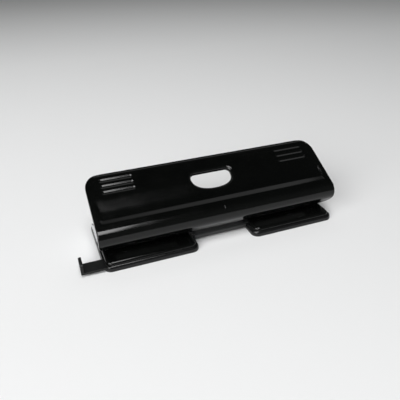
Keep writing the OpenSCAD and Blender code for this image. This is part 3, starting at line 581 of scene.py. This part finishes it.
def flareProfile():
    # flare, hole's side down to the collar's soft lower edges, and up outside it to the wall
    collar, deep, soft, softIn = (fingerHole[key] for key in ("collar", "deep", "soft", "softIn"))
    flare = [flareAt(a) for a in np.radians(np.linspace(0, 90, fingerHole["flareSteps"]))]
    return [(fingerHole["flare"] + fingerHole["lead"], plateDepth)] + flare + [
        (0.0, deep - soft), (soft, deep), (collar - softIn, deep), (collar, deep - softIn), (collar, lever["wall"])]


def coverSheet():
    # the whole cover as a plated sheet, its grid finer over the grooves, the slope and the edges
    step, margin = coverGrid, fingerHole["flare"] + fingerHole["windowMargin"]
    windowX, windowFront, windowBack = fingerHole["windowX"], holeFront - margin, holeBack + margin
    halfIn, grooveOut = lever["half"] - lever["edge"], lever["half"] - grooves["inset"]
    grooveIn = grooveOut - grooves["length"]
    halfCols = steppedLines(0, [
        (windowX, step["middle"]), (grooveIn - step["outside"], step["plain"]),
        (grooveIn + step["inside"], step["grooveEnd"]), (grooveOut - step["inside"], step["plain"]),
        (grooveOut + step["outside"], step["grooveEnd"]), (halfIn - step["sideW"], step["middle"]),
        (halfIn, step["fine"])])
    slopeFrom = plateS + hollow["front"] - step["knee"]
    slopeTo = plateS + hollow["front"] + hollow["slope"] + step["knee"]
    grooveS = pathL - grooves["back"] - (grooves["count"] - 0.5) * grooves["pitch"]
    rows = steppedLines(lever["lipR"], [
        (lever["lipL"], step["fine"]), (plateS, step["fine"]), (slopeFrom, step["front"]),
        (slopeTo, step["fine"]), (windowFront, step["plate"]), (grooveS, step["hole"]),
        (pathL - lever["backR"] - step["gap"], step["fine"])])
    border = dict(half=lever["half"], low=0.0, high=pathL, rLow=lever["lipR"], rHigh=lever["backR"],
                  arcLow=np.linspace(*step["lipArc"]), arcHigh=np.linspace(*step["backArc"]))
    hole = dict(centre=(0.0, holeBack - fingerHole["straight"] - fingerHole["centre"]), outline=fingerOutline,
                window=(-windowX, windowX, windowFront, windowBack), rings=fingerHole["rings"],
                profile=flareProfile())
    return platedSheet(border, rows, np.concatenate([-halfCols[:0:-1], halfCols]), coverRim(), plateDepth,
                       lever["wall"], [hole], coverPoint)


coverPoints, coverQuads = coverSheet()
makePiece("leverCover", coverPoints, coverQuads, "lever", "gloss_black", glossBlack, ["lever_cover"])
print("lever cover:", len(coverQuads), "faces")

mark = {"at": 12.6, "length": 4.2, "r": 0.62, "sunk": 0.1, "blunt": 6, "steps": 15, "around": 24}


def centreMark():
    # round tick half sunk in the nose: a circle of radius r carried along an arc, drawn in to a point at its ends
    t = np.linspace(-1, 1, mark["steps"])[:, None]
    arc = math.radians(90 + mark["at"]) + t * mark["length"] / 2 / lever["noseR"]
    r = mark["r"] * np.sqrt(np.clip(1 - t ** mark["blunt"], 0, 1))
    a = np.linspace(0, 2 * np.pi, mark["around"], endpoint=False)
    lift = lever["noseR"] - mark["sunk"] + r * np.sin(a)
    points = onLever(r * np.cos(a), lift * np.cos(arc), lift * np.sin(arc))
    return points.reshape(-1, 3), gridQuads(len(t), len(a), closeCols=True)


makePiece("centreMark", *centreMark(), "lever", "gloss_black", glossBlack)
print("centre mark made")

# decks

deck = {"middle": 80.0, "half": 47.0, "front": 2.5, "back": 85.0, "r": 7.0, "top": 9.0, "low": 5.8, "sheet": 1.5,
        "edge": 3.0, "edgeSteps": 6, "lip": 0.25, "lipIn": 0.2, "step": 1.9, "gap": 0.01, "arc": (6, 90, 15)}
dieHole = {"x": 40.0, "y": 32.4, "d": 6.5, "window": (4.6, 5.0), "rings": 4,
           "edge": [(0.5, 0.0), (0.2, 0.06), (0.0, 0.3)]}  # how far it is wider, and how deep
rivetHole = {"x": -33.1, "ys": (25.6, 38.4), "d": 3.1, "window": (2.2, 2.2), "rings": 3,
             "edge": [(0.12, 0.0), (0.0, 0.12), (0.0, 0.6)]}


def makeDeck(side, sign):
    # a sheet tray: flat top, edges rounded down to the shell, two die holes and two rivet holes
    top, low, sheet = deck["top"], deck["low"], deck["sheet"]
    rim = [(inset, top - drop) for inset, drop in quarterRound(deck["edge"], deck["edgeSteps"])]
    rim += [(0.0, low + deck["lip"]), (deck["lipIn"], low), (sheet, low), (sheet, top - sheet)]
    places = [((x, dieHole["y"]), dieHole) for x in (-dieHole["x"], dieHole["x"])]
    places += [((rivetHole["x"], y), rivetHole) for y in rivetHole["ys"]]
    holes = []
    for centre, hole in places:
        profile = [(grow, top - drop) for grow, drop in hole["edge"]] + [(0.0, top - sheet)]
        holes.append(roundHole(centre, hole, profile))
    reach, inset = deck["half"] - deck["edge"], deck["r"] + deck["gap"]
    cols = nearWindows(between(-reach, reach, deck["step"]), [hole["window"][:2] for hole in holes])
    rows = nearWindows(between(deck["front"] + inset, deck["back"] - inset, deck["step"]),
                       [hole["window"][2:] for hole in holes])
    arc = np.linspace(*deck["arc"])
    border = dict(half=deck["half"], low=deck["front"], high=deck["back"], rLow=deck["r"], rHigh=deck["r"],
                  arcLow=arc, arcHigh=arc)
    points, quads = platedSheet(border, rows, cols, rim, top, top - sheet, holes,
                                lambda x, s, h: np.stack([sign * (deck["middle"] + x), s, h], -1))
    makePiece(side + "Deck", points, quads, "base", "black_enamel", blackEnamel, [side + "_deck"])


for side, sign in sides.items():
    makeDeck(side, sign)
print("decks made")

# shells

shell = {"x0": 30.5, "x1": 129.5, "y0": 0.0, "y1": 87.5, "r": 8.0, "top": 5.8, "from": 2.4, "bow": 4.4,
         "near": 0.8, "loops": 6, "foot": 0.5, "chamfer": 0.6, "slack": 0.05, "skirt": 0.1, "skirtH": 0.35,
         "fill": 0.75, "weld": 1e-6, "sharp": 32.0}


def fromOutline(x, y):
    # how far points lie inside the shell's rounded rectangle, and their nearest way out of it
    low, high = np.array([shell["x0"], shell["y0"]]), np.array([shell["x1"], shell["y1"]])
    off = np.stack([x, y], -1) - (low + high) / 2
    edge = np.abs(off) - (high - low) / 2 + shell["r"]
    most = edge.max(1)
    inside = shell["r"] - np.linalg.norm(np.maximum(edge, 0), axis=1) - np.minimum(most, 0)
    way = np.where(most[:, None] > 0, np.maximum(edge, 0), edge >= most[:, None])
    way = way / np.maximum(np.linalg.norm(way, axis=1), 1e-9)[:, None]
    return inside, way * np.sign(off)


def bowedShell(side, sign):
    # copy of the shell whose outer wall leans in towards its top: bow - sqrt(bow^2 - (z - from)^2)
    mesh = frame["nodes"][side + "_shell"].data.copy()
    mesh.name = side + "ShellBowed"
    bm = bmesh.new()
    bm.from_mesh(mesh)
    bmesh.ops.remove_doubles(bm, verts=bm.verts, dist=shell["weld"])
    for z in np.linspace(shell["from"], shell["top"], shell["loops"])[:-1]:
        everything = bm.verts[:] + bm.edges[:] + bm.faces[:]
        bmesh.ops.bisect_plane(bm, geom=everything, plane_co=(0, 0, z / 1000), plane_no=(0, 0, 1))
    bm.to_mesh(mesh)
    bm.free()
    co = np.empty(len(mesh.vertices) * 3)
    mesh.vertices.foreach_get("co", co)
    co = co.reshape(-1, 3)
    x, y, z = (co * 1000 - [placing["shiftX"], placing["shiftY"], 0]).T
    inside, way = fromOutline(sign * x, y)
    outer = inside < shell["near"]
    up = np.clip(z - shell["from"], 0, None)
    lean = np.where(outer, shell["bow"] - np.sqrt(shell["bow"] ** 2 - up ** 2), 0)
    # the lower edge reaches down over the pads, so that no light shows under the wall
    low = outer & (z < shell["foot"] + shell["chamfer"] + shell["slack"])
    share = np.clip((z - shell["foot"]) / shell["chamfer"], 0, 1)
    co[low, 2] = (shell["skirt"] + shell["skirtH"] * share[low]) / 1000
    spread = np.where(low, shell["fill"] * np.clip(inside, 0, None), 0)
    co[:, :2] += (spread - lean)[:, None] * way * [sign, 1] / 1000
    mesh.vertices.foreach_set("co", co.reshape(-1))
    mesh.polygons.foreach_set("use_smooth", np.ones(len(mesh.polygons), bool))
    mesh.set_sharp_from_angle(angle=math.radians(shell["sharp"]))
    mesh.materials.clear()
    mesh.materials.append(shellBlack)
    piece = bpy.data.objects.new(side + "Shell", mesh)
    bpy.context.scene.collection.objects.link(piece)
    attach(piece, "base")
    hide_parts(side + "_shell")
    return len(mesh.polygons)


print("shells:", [bowedShell(side, sign) for side, sign in sides.items()], "faces")

# rail, guide, caps

rail = {"front": 19.5, "width": 25.0, "low": 2.4, "top": 7.45, "sheet": 1.5, "half": 30.2, "bend": 1.9,
        "bendSteps": 9, "footIn": 0.1, "footUp": 0.2, "step": 3.0, "endStep": 0.5, "endIn": 0.15, "endDraw": 0.85}
tongue = {"end": 51.5, "overlap": 2.0, "gap": 0.2, "soft": 0.2, "corner": 0.6, "step": 1.2, "clear": 0.01,
          "arc": (15, 90, 6)}
pinHole = {"x": 40.0, "y": 32.4, "d": 7.4, "window": (5.1, 5.1), "rings": 3, "soft": 0.1}


def channelSection():
    # inverted channel: outer path up, round and over, then the inner one back at the sheet's thickness
    y0, y1, low, r = rail["front"], rail["front"] + rail["width"], rail["low"], rail["bend"]
    a = np.radians(np.linspace(180, 90, rail["bendSteps"]))

    def path(depth, footIn):
        bend = np.stack([y0 + r + (r - depth) * np.cos(a), rail["top"] - r + (r - depth) * np.sin(a)], -1)
        foot = [[y0 + depth + footIn, low], [y0 + depth, low + rail["footUp"]]]
        rise = np.concatenate([foot, bend])
        return np.concatenate([rise, rise[::-1] * [-1, 1] + [y0 + y1, 0]])

    return np.concatenate([path(0.0, rail["footIn"]), path(rail["sheet"], -rail["footIn"])[::-1]])


def ringsAlongX(xs, flat):
    # (y, z) sections, one for each x, as points and faces
    rings = np.concatenate([np.broadcast_to(xs[:, None, None], (*flat.shape[:2], 1)), flat], -1)
    return rings.reshape(-1, 3), gridQuads(*flat.shape[:2], closeCols=True)


def railChannel():
    # the section carried along X, drawn in a little at its ends and closed there by its own middle line
    section, half = channelSection(), rail["half"]
    spine = (section + section[::-1]) / 2
    even = between(rail["endStep"] - half, half - rail["endStep"], rail["step"])
    end, draw = np.array([half, half, half - rail["endIn"]]), np.array([0, rail["endDraw"], 1])
    keep = np.concatenate([draw, np.ones(len(even)), draw[::-1]])
    return ringsAlongX(np.concatenate([-end, even, end[::-1]]), spine + (section - spine) * keep[:, None, None])


def railTongue(sign):
    # flat end of the rail under a deck, with a wide hole round the pin
    inset, start = rail["sheet"] + tongue["gap"], rail["half"] - tongue["overlap"]
    y0, y1 = rail["front"] + inset, rail["front"] + rail["width"] - inset
    z0, z1 = rail["top"] - rail["sheet"], rail["top"]
    middle, half = (tongue["end"] + start) / 2, (tongue["end"] - start) / 2
    soft, corner, edge = tongue["soft"], tongue["corner"], pinHole["soft"]
    rim = [(soft, z1), (soft / 4, z1 - soft / 4), (0.0, z1 - soft),
           (0.0, z0 + soft), (soft / 4, z0 + soft / 4), (soft, z0)]
    hole = roundHole((pinHole["x"] - middle, pinHole["y"]), pinHole,
                     [(edge, z1), (0.0, z1 - edge), (0.0, z0 + edge), (edge, z0)])
    margin = corner + tongue["clear"]
    rows = nearWindows(between(y0 + margin, y1 - margin, tongue["step"]), hole["window"][2:])
    cols = nearWindows(between(soft - half, half - soft, tongue["step"]), hole["window"][:2])
    arc = np.linspace(*tongue["arc"])
    border = dict(half=half, low=y0, high=y1, rLow=corner, rHigh=corner, arcLow=arc, arcHigh=arc)
    return platedSheet(border, rows, cols, rim, z1, z0, [hole],
                       lambda x, s, h: np.stack([sign * (middle + x), s, h], -1))


railParts = [railChannel()] + [railTongue(sign) for sign in sides.values()]
makePiece("bridgeRail", *joined(railParts), "base", "black_enamel", railEnamel, ["bridge_rail"])

guide = {"face": -148.5, "front": 1.8, "width": 16.5, "low": 3.0, "thick": 2.0, "length": 86.5, "edge": 0.5,
         "edgeSteps": 6, "stopH": 11.5, "stopT": 3.0, "stopR": 3.0, "stopSteps": 10, "sink": 0.5,
         "catch": 2.0, "catchH": 0.6, "catchR": 0.25, "catchEdge": 0.2, "catchSteps": 4}


def guideSection(z0, z1, rTop, rLow, steps):
    # rounded rectangle in (y, z) over the guide's width, once round, with one radius above and one below
    y0, y1 = guide["front"], guide["front"] + guide["width"]
    corners = [(y1 - rTop, z1 - rTop, rTop, 0), (y0 + rTop, z1 - rTop, rTop, 90),
               (y0 + rLow, z0 + rLow, rLow, 180), (y1 - rLow, z0 + rLow, rLow, 270)]
    arcs = []
    for y, z, r, start in corners:
        a = np.radians(np.linspace(0, 90, steps)) + math.radians(start)
        arcs.append(np.stack([y + r * np.cos(a), z + r * np.sin(a)], -1))
    return np.concatenate(arcs)


def barAlongX(section, x0, x1, ease):
    # a convex (y, z) section carried from x0 to x1, drawn in by a quarter round over the last ease at each end
    centre, size = (section.max(0) + section.min(0)) / 2, (section.max(0) - section.min(0)) / 2
    a = np.radians(np.linspace(0, 90, guide["edgeSteps"]))
    near, far = x0 + ease * (1 - np.sin(a[::-1])), x1 - ease * (1 - np.sin(a))
    draw = np.concatenate([ease * (1 - np.cos(a[::-1])), ease * (1 - np.cos(a))])
    keep = np.concatenate([[[0, 0]], np.clip(1 - draw[:, None] / size, 0, 1), [[0, 0]]])
    return ringsAlongX(np.concatenate([[x0], near, far, [x1]]), centre + (section - centre) * keep[:, None, :])


def paperGuide():
    # flat bar, low catch across its inner end, and the upright stop
    face, low, edge, sink = guide["face"], guide["low"], guide["edge"], guide["sink"]
    top, end = low + guide["thick"], face + guide["length"]
    bar = guideSection(low, top, edge, edge, guide["edgeSteps"])
    catch = guideSection(top - sink, top + guide["catchH"], guide["catchR"], guide["catchR"], guide["catchSteps"])
    stop = guideSection(low, low + guide["stopH"], guide["stopR"], edge, guide["stopSteps"])
    return joined([barAlongX(bar, face - sink, end, edge),
                   barAlongX(catch, end - guide["catch"], end, guide["catchEdge"]),
                   barAlongX(stop, face - guide["stopT"], face, edge)])


makePiece("paperGuide", *paperGuide(), "guide", "guide_black", guideBlack, ["paper_guide"])

caps = {"x": 128.5, "around": 40,  # profile: radius, and height from x outwards
        "profile": [(0.0, 1.8), (1.2, 1.76), (2.2, 1.6), (3.0, 1.3), (3.6, 0.9), (3.9, 0.45), (4.0, 0.1),
                    (3.95, 0.0), (2.6, 0.0), (2.55, 0.1), (2.55, 0.9), (0.0, 0.9)]}


def rodCap(sign):
    # the profile turned about the pivot's axis
    points, quads = lathe(caps["profile"], caps["around"])
    y, z, x = points.T
    return np.stack([sign * (caps["x"] + x), lever["pivotY"] + y, lever["pivotZ"] + sign * z], -1), quads


capParts = [rodCap(sign) for sign in sides.values()]
makePiece("rodCaps", *joined(capParts), "base", "cap_black", capBlack, ["rod_caps"])
print("rail, guide and caps made")

# return springs

spring = {"low": 13.55, "high": 22.597, "coilR": 4.3, "wireR": 0.35, "turns": 4.0, "dead": 0.7, "rise": 0.85,
          "y": 32.4, "xs": (-120.0, -40.0, 40.0, 120.0), "keep": 0.315, "steps": 30, "around": 12}


def springPath(x):
    # helix x = R cos a, y = R sin a; it climbs slowly over the dead turns at both ends and evenly between
    turns, dead, r = spring["turns"], spring["dead"], spring["coilR"]
    turnsAt = np.linspace(0, turns, int(turns * spring["steps"]) + 1)
    low, high, climb = spring["low"] + spring["wireR"], spring["high"] - spring["wireR"], spring["rise"] * dead
    height = np.interp(turnsAt, [0, dead, turns - dead, turns], [low, low + climb, high - climb, high])
    a = 2 * np.pi * turnsAt
    out = np.stack([np.cos(a), np.sin(a), np.zeros(len(a))], -1)
    return np.stack([x + r * np.cos(a), spring["y"] + r * np.sin(a), height], -1), out


for i, x in enumerate(spring["xs"], 1):
    path, out = springPath(x)
    points, quads = sweptTube(path, spring["wireR"], spring["around"], out)
    stands = [f"return_spring_{i}"]
    coil = makePiece(f"returnSpring{i}", points, quads, "base", "spring_steel", springSteel, stands)
    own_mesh(coil)
print("springs made:", len(spring["xs"]))

# floor, light and camera

sky = {"upward": [(0.0, 1.0), (0.6, 0.8), (0.85, 0.3), (1.0, 0.15)],  # share of the light by a way's height
       "away": [(0.0, 0.8), (0.45, 0.7), (0.57, 0.5), (0.75, 1.0), (0.88, 0.3), (1.0, 0.25)],  # front to back
       "tint": (0.98, 1.02, 0.99), "strength": 0.18, "seen": (0.86, 0.865, 0.87)}
# the floor's near and far colours with their ramp along y are painted light, lighter towards the back; the glow far
# from the part is painted light too
stage = {"half": 6.0, "near": (0.80, 0.802, 0.805), "far": (0.95, 0.952, 0.955), "paintedLightToBack": (-0.1, 0.9),
         "rough": 0.85, "gloss": 0.2, "paintedGlowAbout": (0.4, 1.0, 0.0), "paintedGlowSpan": (1.6, 3.6), "paintedGlow": 0.9}
lamps = {  # place and target in metres, width and depth in metres, power in watts
    "keyLamp": dict(at=(-0.185, -0.78, 1.93), to=(-0.1, -0.03, 0.03), size=(0.75, 1.1), power=25.0),
    "leftLamp": dict(at=(-1.75, -1.25, 1.25), to=(0.0, 0.0, 0.03), size=(2.0, 1.6), power=56.0),
    "backPanel": dict(at=(0.35, 1.15, 1.65), to=(0.0, 0.0, 0.03), size=(2.0, 0.9), power=3.0),
}
photoCamera = {"azimuth": -20.59, "elevation": 29.71, "roll": -1.06, "lens": 41.29, "sensor": 36.0,
               "at": (-0.15515, -0.40370, 0.28033), "shift": (-0.00125, -0.00125), "clip": (0.01, 100)}


def paperWithPaintedLight():
    # paper with painted light: its colour grows paler towards the back, and far from the part it glows as painted
    # light, so that it meets the pale backdrop
    material, tree, shader, coords = newMaterial("floorPaper")
    across = tree.nodes.new("ShaderNodeSeparateXYZ")
    tree.links.new(coords, across.inputs["Vector"])
    paintedLightToBack = remapped(tree, across.outputs["Y"], stage["paintedLightToBack"], noiseSpan)
    tree.links.new(mixColour(tree, paintedLightToBack, stage["near"], stage["far"]), shader.inputs["Base Color"])
    reach = tree.nodes.new("ShaderNodeVectorMath")
    reach.operation = "DISTANCE"
    reach.inputs[1].default_value = stage["paintedGlowAbout"]
    tree.links.new(coords, reach.inputs[0])
    paintedGlow = remapped(tree, reach.outputs["Value"], stage["paintedGlowSpan"], (0.0, stage["paintedGlow"]), "SMOOTHSTEP")
    tree.links.new(paintedGlow, shader.inputs["Emission Strength"])
    shader.inputs["Emission Color"].default_value = (*sky["seen"], 1)
    shader.inputs["Roughness"].default_value = stage["rough"]
    shader.inputs["Specular IOR Level"].default_value = stage["gloss"]
    return material


def greys(stops):
    return [(position, (grey, grey, grey)) for position, grey in stops]


def makeSky():
    # light by direction: share by height times share by depth; the camera sees an even backdrop instead
    world = bpy.data.worlds.new("room")
    bpy.context.scene.world = world
    world.use_nodes = True
    tree = world.node_tree
    light = next(n for n in tree.nodes if n.type == "BACKGROUND")
    output = next(n for n in tree.nodes if n.type == "OUTPUT_WORLD")
    way = tree.nodes.new("ShaderNodeTexCoord")
    split = tree.nodes.new("ShaderNodeSeparateXYZ")
    tree.links.new(way.outputs["Generated"], split.inputs["Vector"])
    away = mathNode(tree, "ADD", mathNode(tree, "MULTIPLY", split.outputs["Y"], 0.5), 0.5)
    byHeight = rampOver(tree, split.outputs["Z"], greys(sky["upward"]))
    share = mathNode(tree, "MULTIPLY", byHeight, rampOver(tree, away, greys(sky["away"])))
    light.inputs["Color"].default_value = (*sky["tint"], 1)
    tree.links.new(mathNode(tree, "MULTIPLY", share, sky["strength"]), light.inputs["Strength"])
    seen = tree.nodes.new("ShaderNodeBackground")
    seen.inputs["Color"].default_value = (*sky["seen"], 1)
    ray = tree.nodes.new("ShaderNodeLightPath")
    either = tree.nodes.new("ShaderNodeMixShader")
    tree.links.new(ray.outputs["Is Camera Ray"], either.inputs["Fac"])
    tree.links.new(light.outputs["Background"], either.inputs[1])
    tree.links.new(seen.outputs["Background"], either.inputs[2])
    tree.links.new(either.outputs["Shader"], output.inputs["Surface"])


def makeCamera():
    data = bpy.data.cameras.new("photoCamera")
    data.lens, data.sensor_width = photoCamera["lens"], photoCamera["sensor"]
    data.shift_x, data.shift_y = photoCamera["shift"]
    data.clip_start, data.clip_end = photoCamera["clip"]
    camera = bpy.data.objects.new("photoCamera", data)
    turn, rise, tilt = (math.radians(photoCamera[key]) for key in ("azimuth", "elevation", "roll"))
    backward = Vector((math.sin(turn) * math.cos(rise), -math.cos(turn) * math.cos(rise), math.sin(rise)))
    level = Vector((math.cos(turn), math.sin(turn), 0))
    upward = backward.cross(level)
    right = level * math.cos(tilt) + upward * math.sin(tilt)
    up = upward * math.cos(tilt) - level * math.sin(tilt)
    axes = Matrix((right, up, backward)).transposed().to_4x4()
    camera.matrix_world = Matrix.Translation(photoCamera["at"]) @ axes
    bpy.context.scene.collection.objects.link(camera)
    bpy.context.scene.camera = camera


floorMesh = bpy.data.meshes.new("floor")
corners = [(stage["half"] * x, stage["half"] * y, 0) for x, y in ((-1, -1), (1, -1), (1, 1), (-1, 1))]
floorMesh.from_pydata(corners, [], [(0, 1, 2, 3)])
floor = bpy.data.objects.new("floor", floorMesh)
bpy.context.scene.collection.objects.link(floor)
floor.data.materials.append(paperWithPaintedLight())

for name, setting in lamps.items():
    data = bpy.data.lights.new(name, "AREA")
    data.shape, data.energy = "RECTANGLE", setting["power"]
    data.size, data.size_y = setting["size"]
    lamp = bpy.data.objects.new(name, data)
    lamp.location = setting["at"]
    toward = Vector(setting["to"]) - Vector(setting["at"])
    lamp.rotation_euler = toward.to_track_quat("-Z", "Y").to_euler()
    bpy.context.scene.collection.objects.link(lamp)

makeSky()
makeCamera()
bpy.context.scene.view_settings.view_transform = "Standard"
print("floor, light and camera ready")

bpy.context.view_layer.update()
